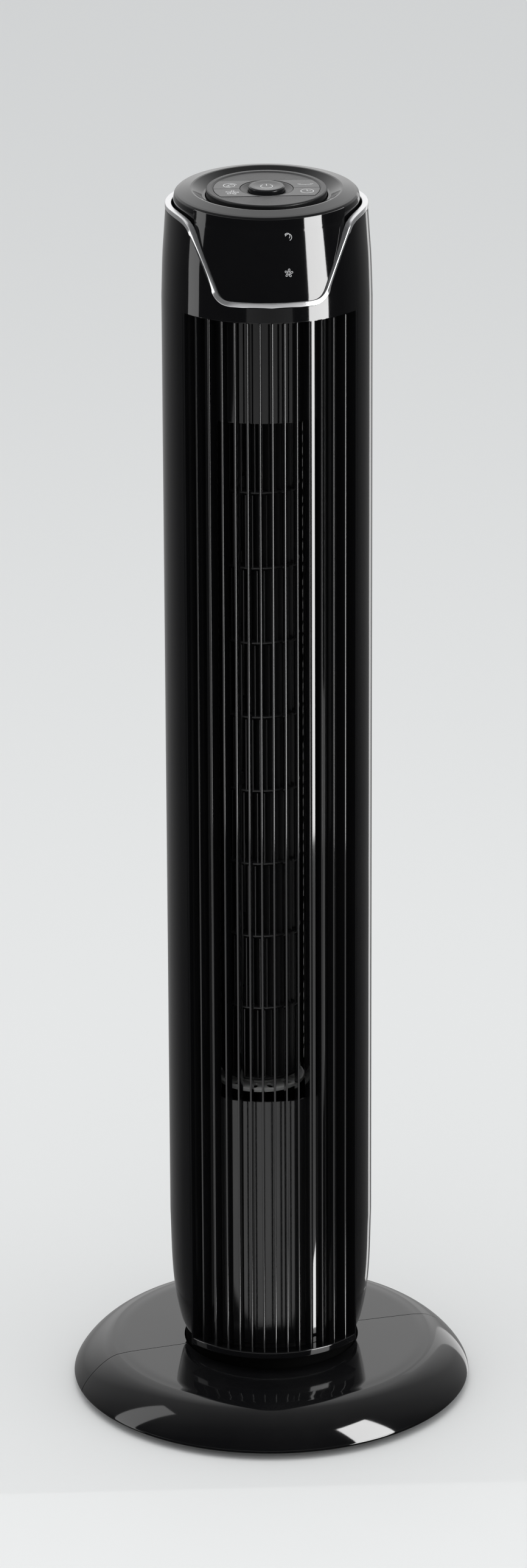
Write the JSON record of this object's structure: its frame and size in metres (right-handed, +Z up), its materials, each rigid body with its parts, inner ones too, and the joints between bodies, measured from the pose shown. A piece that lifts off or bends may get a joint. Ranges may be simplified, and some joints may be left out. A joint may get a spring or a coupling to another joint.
{
  "type": "tower fan",
  "caption": "Slim round tower fan on a round base: vertical bar grille, spinning cross-flow impeller, display bib, push buttons on a round top panel and a swinging column.",
  "frame": {"origin": "on the floor under the middle of the round base, which is also the column's swing axis", "axes": "+Z up along the column, -Y out of the column's front grille at rest, +X to the right of someone looking at the grille"},
  "size_m": [0.294, 0.294, 0.9153],
  "materials": {
    "gloss_black": "high gloss",
    "satin_black": "satin",
    "button_black": "fine satin",
    "pale_plastic": "satin",
    "chrome": "polished",
    "steel": "plain",
    "copper": "enamelled wire",
    "circuit": "solder mask",
    "rubber": "matte"
  },
  "bodies": {
    "base": {"base_front_half": "gloss_black", "base_rear_half": "gloss_black", "cord_bush": "rubber", "foot_1": "rubber", "foot_2": "rubber", "foot_3": "rubber", "foot_4": "rubber", "foot_5": "rubber", "foot_6": "rubber", "foot_7": "rubber", "foot_8": "rubber", "foot_9": "rubber", "foot_10": "rubber", "pivot_hub": "satin_black", "hub_screw_1": "steel", "hub_screw_2": "steel", "hub_screw_3": "steel", "hub_screw_4": "steel", "swing_guide": "pale_plastic", "slide_ring": "pale_plastic", "retainer_clip": "steel"},
    "column": {"front_shell": "gloss_black", "rear_housing": "satin_black", "housing_screw_1": "steel", "housing_screw_2": "steel", "housing_screw_3": "steel", "housing_screw_4": "steel", "front_grille": "gloss_black", "chrome_trim": "chrome", "display_window": "gloss_black", "top_cap": "gloss_black", "display_board": "circuit", "control_disc": "satin_black", "control_board": "circuit", "scroll_wall": "gloss_black", "stabiliser_wall": "gloss_black", "upper_baffle": "gloss_black", "motor_cover": "gloss_black", "bearing_holder": "satin_black", "upper_bearing": "steel", "motor_top_plate": "pale_plastic", "motor_stator": "steel", "winding_upper": "copper", "winding_lower": "copper", "motor_bracket_upper": "steel", "motor_bracket_lower": "steel", "motor_shelf": "satin_black", "column_floor": "satin_black", "swing_motor": "steel"},
    "impeller": {"impeller": "satin_black", "upper_pin": "steel", "motor_rotor": "steel"},
    "swing_crank": {"swing_crank": "pale_plastic", "crank_shaft": "steel"},
    "button_power": {"button_power": "button_black"},
    "button_mode": {"button_mode": "button_black"},
    "button_speed": {"button_speed": "button_black"},
    "button_swing": {"button_swing": "button_black"},
    "button_timer": {"button_timer": "button_black"}
  },
  "joints": [
    {"name": "column_swing", "type": "hinge", "parent": "base", "child": "column", "pos_m": [0, 0, 0.046], "axis": [0, 0, 1], "range_deg": [-23.2, 51.8]},
    {"name": "impeller_spin", "type": "hinge", "parent": "column", "child": "impeller", "pos_m": [-0.0065, 0.004, 0.248], "axis": [0, 0, 1], "continuous": true},
    {"name": "crank_spin", "type": "hinge", "parent": "column", "child": "swing_crank", "pos_m": [0, 0.034, 0.04], "axis": [0, 0, 1], "range_deg": [-155.4, 69.6]},
    {"name": "press_power", "type": "slide", "parent": "column", "child": "button_power", "axis": [0, 0.0489, -0.9988], "range_m": [0, 0.001], "stiffness_N_per_m": 1500, "springref_m": -0.0005},
    {"name": "press_mode", "type": "slide", "parent": "column", "child": "button_mode", "axis": [0, 0.0489, -0.9988], "range_m": [0, 0.001], "stiffness_N_per_m": 1500, "springref_m": -0.0005},
    {"name": "press_speed", "type": "slide", "parent": "column", "child": "button_speed", "axis": [0, 0.0489, -0.9988], "range_m": [0, 0.001], "stiffness_N_per_m": 1500, "springref_m": -0.0005},
    {"name": "press_swing", "type": "slide", "parent": "column", "child": "button_swing", "axis": [0, 0.0489, -0.9988], "range_m": [0, 0.001], "stiffness_N_per_m": 1500, "springref_m": -0.0005},
    {"name": "press_timer", "type": "slide", "parent": "column", "child": "button_timer", "axis": [0, 0.0489, -0.9988], "range_m": [0, 0.001], "stiffness_N_per_m": 1500, "springref_m": -0.0005}
  ],
  "couplings": [
    {"joint": "crank_spin", "follows": "column_swing", "ratio": -3}
  ]
}
